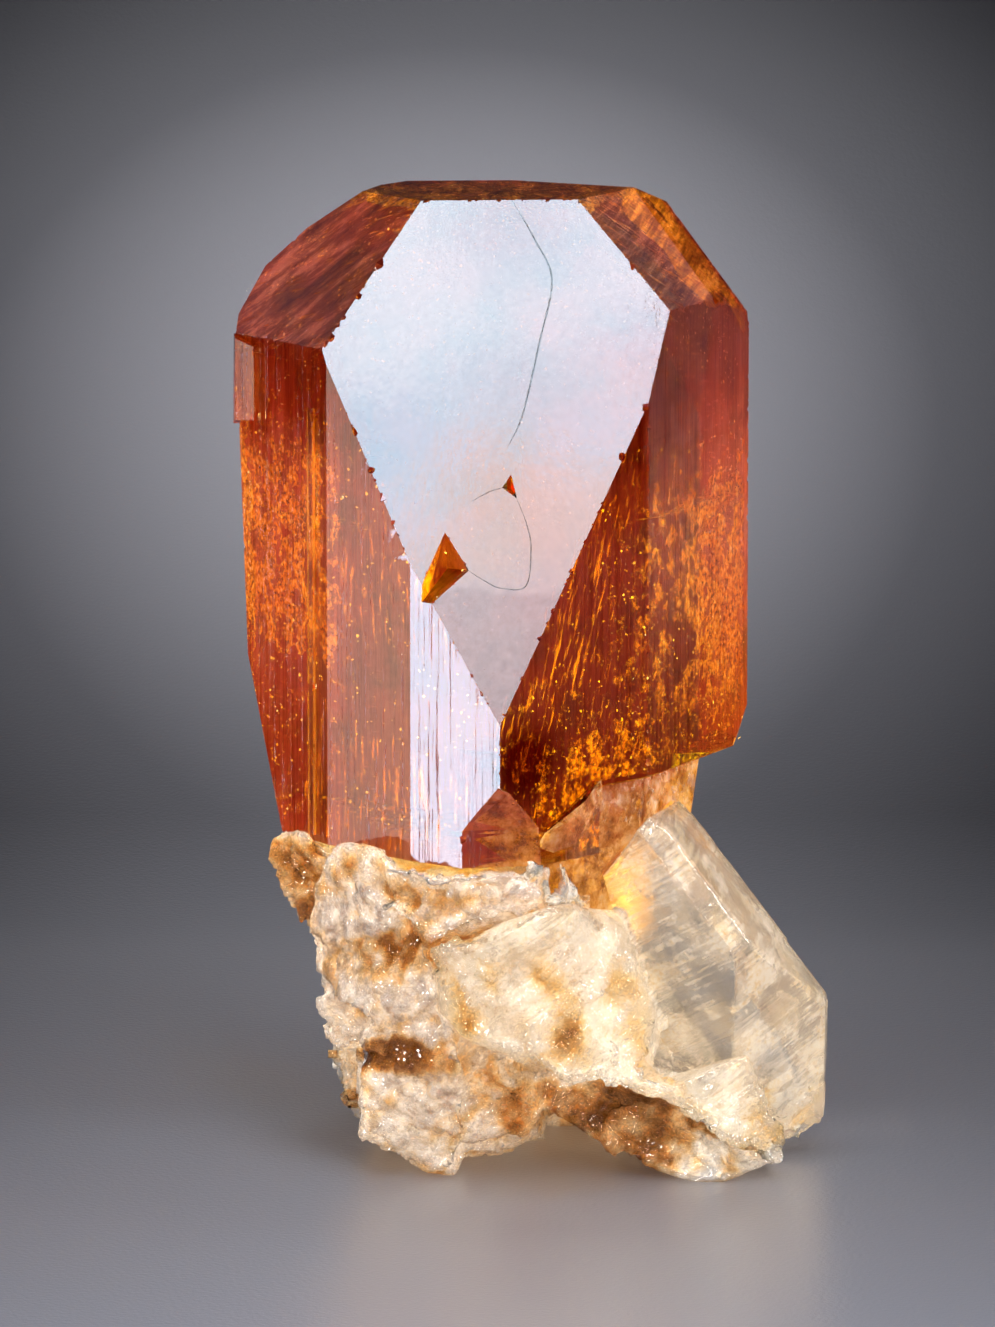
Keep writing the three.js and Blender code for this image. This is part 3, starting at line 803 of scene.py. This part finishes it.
def right_gold(p):
    return (0.5 * band(p[:, 2], 36, 43, 54, 68) * rise(p[:, 0] + 0.1 * (p[:, 2] - 50), 9, 17)
            + 0.2 * rise(p[:, 0], 2, 10) * (1 - rise(p[:, 2], 58, 66)))


def left_gold(p):
    return 0.47 * band(p[:, 2], 43, 49, 61, 70) * (1 - rise(p[:, 0], -19, -15)) + 0.1


def edge_gold(p):
    """Beside the dome's lower right edge, over the distance away from it."""
    away = (p[:, 0] + 2.8) * 0.87 - (p[:, 2] - 42.6) * 0.31
    return 0.17 * band(away, -1, 0.3, 3, 7) * band(p[:, 2], 40, 43, 58, 64) + 0.1


def foot_gold(p):
    return (0.3 * (1 - rise(p[:, 2], 38, 42)) * rise(p[:, 0], -1, 3)
            + 0.14 * (1 - rise(p[:, 2], 40, 48)))


def level_gold(p):
    return 0.55 * rise(p[:, 0], 5, 12) + 0.35 * (1 - rise(p[:, 0], -16, -12))


def bright_corner(p):
    return 0.2 + 0.25 * rise(p[:, 0], -14, -8)


def lower_gold(p):
    return 0.18 * band(p[:, 2], 46, 50, 58, 62) + 0.25 * (1 - rise(p[:, 2], 36, 44)) + 0.02


def even(share):
    return lambda p: np.full(len(p), share)


gold_mottle = film_material("gold_mottle", False, 1.4, (1, 1, 1.1), 0.2, 0.75, [
    (0.36, (0.2, 0.06, 0.001)), (0.47, (0.6, 0.25, 0.006)), (0.56, (0.95, 0.5, 0.03)),
    (0.66, (1, 0.8, 0.3))])
gold_streaks = film_material("gold_streaks", True, 0.5, (1, 9, 1), 0.14, 0.8, [
    (0.4, (0.45, 0.14, 0.002)), (0.52, (0.9, 0.42, 0.012)), (0.66, (1, 0.7, 0.1))])
joined_sheets("topaz_gold_clouds", [
    inner_sheet(65, 90, 0.9, 0.3, 0, right_gold),
    inner_sheet(48.5, 90, 1.8, 0.5, 0, right_gold),
    inner_sheet(-58.5, 90, 0.9, 0.3, 0, left_gold),
    inner_sheet(-97, 92.4, 1.2, 0.4, 0, left_gold),
    inner_sheet(48.5, 90, 0.8, 0.2, 0, foot_gold),
    inner_sheet(0, 0, 1.0, 0.2, 0, even(0.65)),
    inner_sheet(0, 0, 27.8, 0.15, 0, level_gold),
], gold_mottle)
joined_sheets("topaz_gold_streaks", [
    inner_sheet(48.5, 90, 0.7, 0.1, 18, edge_gold),
    inner_sheet(-58.5, 48.2, 1.0, 0.3, 62, bright_corner),
    inner_sheet(65, 45.6, 1.0, 0.3, -40, even(0.35)),
    inner_sheet(78, 48.5, 0.9, 0.3, -35, even(1.2)),
    inner_sheet(-47.6, 90, 1.0, 0.2, 0, lower_gold),
], gold_streaks)


def scattered(tries, cover, shallow, deep):
    """Random points inside the topaz between two depths, kept with the chance that cover gives."""
    spread = inclusion_random.uniform((-27, -28, 31), (21, 28, 87), (tries, 3))
    inside = depth_inside(spread)
    keep = (inside > shallow) & (inside < deep) & (inclusion_random.random(tries) < cover(spread))
    return spread[keep]


def loose_flakes(name, centres, smallest, largest, finish, colour, glow):
    """Irregular five-cornered flakes, turned at random, of a matt finish that also glows
    through: corner = centre + size * r * (cos a * u + sin a * v)."""
    random, count = inclusion_random, len(centres)
    normals = random.normal(size=(count, 3))
    normals /= np.linalg.norm(normals, axis=1)[:, None]
    sizes = smallest + (largest - smallest) * random.random(count) ** 4
    aside = np.cross(normals, random.normal(size=(count, 3)))
    u = aside / np.linalg.norm(aside, axis=1)[:, None]
    v = np.cross(normals, u)
    angle = (np.arange(5) + random.uniform(-0.3, 0.3, (count, 5))) * 2 * math.pi / 5
    radius = sizes[:, None] * random.uniform(0.5, 1.1, (count, 5))
    points = (centres[:, None] + (radius * np.cos(angle))[..., None] * u[:, None]
              + (radius * np.sin(angle))[..., None] * v[:, None])
    faces = (np.arange(count) * 5)[:, None] + np.arange(5)
    material, tree, shader = new_material(finish, {
        "Base Color": (*colour, 1), "Specular IOR Level": 0.0})
    mix_surface(tree, 0.5, shader, add_node(tree, "BsdfTranslucent", {"Color": (*glow, 1)}))
    inner_piece(name, points.reshape(-1, 3), faces.tolist(), material, golden_pieces)


def flake_cover(p):
    """Golden flakes crowd in clumps where the golden films are, and near the top."""
    clumps = rise(swell(p, 3.5, np.random.default_rng(17)), 0.2, 1.4)
    return np.clip(0.05 + 0.2 * clumps + (right_gold(p) + left_gold(p)) * (0.2 + 0.8 * clumps)
                   + 0.3 * rise(p[:, 2], 70, 75) + 0.25 * foot_gold(p), 0, 1)


def speck_cover(p):
    """Pale specks crowd where two faces meet: near them the second nearest face is near too."""
    normals, distances = topaz_planes
    second = np.partition(distances - p @ normals.T, 1, axis=1)[:, 1]
    return 0.02 + 0.35 * (1 - rise(second, 0.3, 1.6)) + 0.12 * rise(p[:, 2], 68, 74) * (second < 9)


loose_flakes("topaz_gold_flakes", scattered(420000, flake_cover, 0.2, 3.5), 0.04, 0.2,
             "gold_flake", (1, 0.72, 0.25), (1, 0.65, 0.12))
loose_flakes("topaz_pale_specks", scattered(160000, speck_cover, 0.12, 0.7), 0.04, 0.18,
             "pale_speck", (1, 0.93, 0.8), (1, 0.9, 0.75))


# ---- Quartz crystal --------------------------------------
# A pale quartz crystal that leans out at the right, with fine growth lines across its front
# face, a shell-like fracture at its left and a thin iron-stained lip along its lower edge.

QUARTZ_IOR = 1.545
QUARTZ_VOXEL, QUARTZ_VEIL_VOXEL, QUARTZ_VEIL_DEPTH = 0.3, 0.45, 0.8
LINE_DEPTH, LINE_LEAN = 0.07, 34
pale_pieces = bpy.data.collections.new("pale_pieces")


def worked_copy(name, node, voxel):
    """A CAD node's form as an even skin of small quads, with its points and normals in mm."""
    piece = object_from(name, merged_mesh(node))
    remesh = piece.modifiers.new("remesh", "REMESH")
    remesh.mode = "VOXEL"
    remesh.voxel_size = voxel * MM
    apply_modifiers(piece)
    points, normals = np.empty((2, len(piece.data.vertices) * 3), np.float32)
    piece.data.vertices.foreach_get("co", points)
    piece.data.vertices.foreach_get("normal", normals)
    piece.data.shade_smooth()
    return piece, points.reshape(-1, 3) / MM, normals.reshape(-1, 3)


def broken(points, size, lean, seed):
    """Height of a flat-broken surface. Each point belongs to the nearest centre of a jittered
    grid of cells, and height = lean . (point - centre), so every cell is one flat facet."""
    random = np.random.default_rng(seed)
    table = random.random((32, 32, 32, 6))
    grid = points / size + random.random(3)
    cell = np.floor(grid).astype(int)
    best = np.full(len(points), np.inf)
    height = np.zeros(len(points))
    for step in np.ndindex(3, 3, 3):
        corner = cell + np.array(step) - 1
        drawn = table[tuple((corner % 32).T)]
        away = grid - corner - drawn[:, :3]
        distance = (away ** 2).sum(axis=1)
        nearer = distance < best
        best = np.where(nearer, distance, best)
        height = np.where(nearer, (away * (drawn[:, 3:] - 0.5)).sum(axis=1), height)
    return 2 * lean * size * height


def near_spots(points, spots):
    """A mask from ellipsoids (centre, radii, strength): 1 - smooth distance, the most of them."""
    mask = np.zeros(len(points))
    for centre, radii, strength in spots:
        distance = np.linalg.norm((points - np.array(centre)) / np.array(radii), axis=1)
        mask = np.maximum(mask, strength * (1 - rise(distance, 0.55, 1.1)))
    return mask


def skinned_piece(name, node, voxel, skin, material):
    """A worked copy moved to its broken skin, with how rough and how stained it is."""
    piece, points, normals = worked_copy(name, node, voxel)
    moved, rough, stain = skin(points, normals)
    piece.data.vertices.foreach_set("co", (moved * MM).astype(np.float32).ravel())
    piece.data.update()
    keep_value(piece, "rough", rough)
    keep_value(piece, "stain", stain)
    piece.data.materials.clear()
    piece.data.materials.append(material)
    pale_pieces.objects.link(piece)
    return piece


def quartz_material(name, colours, clear, roughness, facet_size, smoke, lined=False):
    """Smoky clear quartz. Its tint runs with its "stain" value and a mottle, from clean to
    rusty. Its facets show where its "rough" value is high, and fine growth lines elsewhere."""
    material, tree, shader = new_material(name, {
        "Transmission Weight": clear, "IOR": QUARTZ_IOR, "Roughness": roughness})
    place = object_place(tree)
    grain = broken_facets(tree, place, facet_size)
    level = swing(tree, grain.outputs["Mottle"], 1.1, kept_value(tree, "stain"))
    tree.links.new(ramp(tree, level, colours), shader.inputs["Base Color"])
    rough = kept_value(tree, "rough")
    height = maths(tree, "MULTIPLY", grain.outputs["Height"], maths(tree, "MULTIPLY", rough, 1.2))
    if lined:
        lines = noise(tree, place, 0.35, 4, 0.6, (30, 30, 1), (0, LINE_LEAN, 0))
        fade = maths(tree, "MULTIPLY_ADD", rough, -LINE_DEPTH * MM, LINE_DEPTH * MM)
        height = maths(tree, "ADD", height, maths(tree, "MULTIPLY", lines, fade))
    add_bump(tree, shader, height)
    lit_through(tree, (0.9, 0.86, 0.8))
    coloured_body(tree, smoke, 60)
    return material


def veil_material(name, size, softness, strength, glow, colours, streaked=False):
    """A milky veil that shows where its cover and a fine noise are high. Its colour runs with
    its "stain" value and a finer noise, from clean to rusty."""
    material, tree, shader = new_material(name, {"Roughness": 0.5, "Specular IOR Level": 0.0})
    place = object_place(tree)
    level = swing(tree, noise(tree, place, size, 6, 0.72), 2.4, kept_value(tree, "cover"))
    if streaked:
        streak = noise(tree, place, 0.35, 4, 0.6, (24, 24, 1), (0, LINE_LEAN, 0))
        level = swing(tree, streak, 2.4, level)
    fine = noise(tree, place, size * 0.45, 6, 0.75)
    colour = ramp(tree, swing(tree, fine, 1.6, kept_value(tree, "stain")), colours)
    film_surface(tree, shader, level, softness, strength, colour, glow)
    return material


def inner_veil(name, node, voxel, depth, skin, cover, material):
    """A copy of a piece's skin at a depth under it: point = skin - depth * normal, with how
    much each point shows as "cover" and its stain. It stays above the ground."""
    source, points, normals = worked_copy(name, node, voxel)
    corners = np.empty(len(source.data.loops), np.int32)
    source.data.loops.foreach_get("vertex_index", corners)
    bpy.data.objects.remove(source)
    moved, rough, stain = skin(points, normals)
    layer = moved - depth * normals
    layer[:, 2] = np.maximum(layer[:, 2], 0.1)
    shown = cover(points, rough)
    quads = corners.reshape(-1, 4)
    quads = quads[shown[quads].max(axis=1) > LEAST_SHOWN]
    piece = inner_piece(name, layer, quads.tolist(), material, pale_pieces)
    keep_value(piece, "cover", shown)
    keep_value(piece, "stain", stain)
    piece.data.shade_smooth()


QUARTZ_BROKEN = [
    ((3, -21, 17), (9, 9, 10), 1), ((-6, -25, 20), (6, 5, 6), 1), ((8, -20, 12), (6, 6, 5), 0.9),
    ((16, -14, 4), (14, 9, 6.5), 1), ((24, -8, 3), (5, 5, 4), 1)]
QUARTZ_RUST = [
    ((8.5, -8, 33), (6, 6, 3.5), 0.4), ((-6.5, -24, 18), (4.5, 6, 6), 0.25),
    ((2, -22, 14), (9, 6, 3), 0.15)]


def quartz_skin(points, normals):
    """The broken and worn skin of the crystal, how rough it is there and how stained."""
    fracture = near_spots(points, QUARTZ_BROKEN)
    relief = broken(points, 3.2, 0.3, 5) + broken(points, 1.3, 0.28, 6)
    wear = broken(points, 5, 0.03, 8)
    moved = points + ((fracture * (relief - 0.35)) + wear - 0.05)[:, None] * normals
    moved[:, 2] = np.maximum(moved[:, 2], points[:, 2].min())
    hollow = rise(-relief, 0.1, 0.6) * fracture
    lip = 1 - rise(points[:, 2] + 0.25 * (points[:, 0] - 8), 3.5, 9)
    cloud = swell(points, 6, np.random.default_rng(12))
    stain = (0.08 + 0.25 * hollow + 0.3 * lip + near_spots(points, QUARTZ_RUST)
             + 0.15 * cloud * (0.3 + fracture))
    return moved, np.clip(fracture, 0, 1), np.clip(stain, 0, 1)


def quartz_cover(points, rough):
    """Dense in the fracture, patchy in the clear crystal, and none in the thin lip."""
    height = points[:, 2] + 0.35 * (points[:, 0] - 12) - QUARTZ_VEIL_DEPTH
    thin = 1 - rise(height, 2, 5)
    clouds = 0.4 + 0.3 * swell(points, 7, np.random.default_rng(13)) + 0.45 * rough
    return np.clip(clouds, 0, 1) * (1 - thin)


QUARTZ_COLOURS = [
    (0.0, (1, 0.99, 0.97)), (0.25, (1, 0.95, 0.85)), (0.5, (0.95, 0.78, 0.45)),
    (0.75, (0.7, 0.36, 0.09)), (1.0, (0.3, 0.1, 0.01))]
VEIL_COLOURS = [
    (0.0, (1, 0.95, 0.85)), (0.15, (0.97, 0.86, 0.66)), (0.3, (0.88, 0.66, 0.36)),
    (0.45, (0.78, 0.46, 0.12)), (0.65, (0.35, 0.15, 0.03)), (1.0, (0.15, 0.05, 0.01))]
quartz = skinned_piece("quartz", "quartz_crystal", QUARTZ_VOXEL, quartz_skin, quartz_material(
    "quartz_glass", QUARTZ_COLOURS, 0.9, 0.06, 1.6, (0.8, 0.7, 0.55), lined=True))
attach(quartz, "root")
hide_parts("quartz_crystal")
inner_veil("quartz_veils", "quartz_crystal", QUARTZ_VEIL_VOXEL, QUARTZ_VEIL_DEPTH, quartz_skin,
           quartz_cover, veil_material("quartz_veil", 1.2, 0.5, 0.45, 0.35, VEIL_COLOURS, True))


# ---- Quartz matrix ---------------------------------------
# The lump of broken quartz that the topaz stands on: cream and grey glassy facets with rusty
# iron stain in its hollows, and painted shade in rusty brown low at the front, browner below
# and dark in a recess at the right.

MATRIX_VOXEL, MATRIX_VEIL_VOXEL, MATRIX_VEIL_DEPTH = 0.36, 0.55, 0.5
# Rust spots, each a centre, radii and strength. The three low ones at the front, 4 to 6 mm up, are
# painted shade in rusty brown, in the recess under the lump.
MATRIX_RUST_AND_SHADE = [
    ((-22, -10, 25), (5, 9, 6), 0.45), ((-13, -20, 11.5), (6, 6, 2.2), 0.75),
    ((2, -18, 6), (7, 8, 6), 0.62), ((8, -12, 4), (9, 9, 6), 0.62),
    ((-3, -22, 14), (4, 4, 6), 0.3), ((-1, -20, 4), (6, 6, 5), 0.5),
    ((-8, -20, 22), (8, 6, 2.5), 0.35), ((-22, -14, 16), (3, 4, 6), 0.5)]
MATRIX_DEEPEST, MATRIX_PROUDEST = 1.6, 0.12


def matrix_skin(points, normals):
    """The broken skin of the lump, rough all over, and how stained it is: more in hollows, with
    painted shade in rusty brown low at the front.
    It stays whole at the ground and under the topaz."""
    relief = sum(broken(points, size, lean, seed) for size, lean, seed in (
        (5.5, 0.22, 21), (2.4, 0.26, 22), (1.1, 0.28, 23)))
    under_topaz = rise(points[:, 2], 29.0, 30.0) * (points[:, 1] > -18)
    free = rise(points[:, 2], 0.3, 1.5) * (1 - under_topaz)
    move = np.clip(relief - 0.5, -MATRIX_DEEPEST, MATRIX_PROUDEST) * free
    moved = points + move[:, None] * normals
    moved[:, 2] = np.maximum(moved[:, 2], 0)
    hollow = rise(-relief, 0.1, 0.9)
    # The three low spots at the front add painted shade to the stain.
    stain = (0.05 + 0.35 * hollow + near_spots(points, MATRIX_RUST_AND_SHADE)
             + 0.12 * swell(points, 7, np.random.default_rng(31))
             + 0.1 * swell(points, 2.5, np.random.default_rng(32)))
    return moved, np.ones(len(points)), np.clip(stain, 0, 1)


def matrix_cover(points, rough):
    return np.full(len(points), 0.35 + 0.25 * MATRIX_VEIL_DEPTH)


MATRIX_COLOURS = [
    (0.0, (1, 0.97, 0.93)), (0.2, (1, 0.9, 0.75)), (0.4, (0.95, 0.68, 0.35)),
    (0.65, (0.6, 0.26, 0.06)), (0.95, (0.2, 0.07, 0.01))]
MATRIX_VEIL_COLOURS = [
    (0.0, (0.98, 0.92, 0.84)), (0.15, (0.95, 0.8, 0.6)), (0.35, (0.88, 0.56, 0.22)),
    (0.6, (0.5, 0.2, 0.04)), (0.9, (0.12, 0.04, 0.01))]
matrix = skinned_piece("matrix", "quartz_matrix", MATRIX_VOXEL, matrix_skin, quartz_material(
    "matrix_quartz", MATRIX_COLOURS, 0.78, 0.08, 1.8, (0.8, 0.68, 0.5)))
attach(matrix, "root")
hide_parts("quartz_matrix")
inner_veil("matrix_veils", "quartz_matrix", MATRIX_VEIL_VOXEL, MATRIX_VEIL_DEPTH, matrix_skin,
           matrix_cover, veil_material("matrix_veil", 1.4, 0.35, 0.7, 0.3, MATRIX_VEIL_COLOURS))

# Each set of lamps lights its own group of pieces and no other.
for lamps, receivers in ((golden_lamps, golden_pieces), (pale_lamps, pale_pieces)):
    for lamp in lamps:
        lamp.light_linking.receiver_collection = receivers
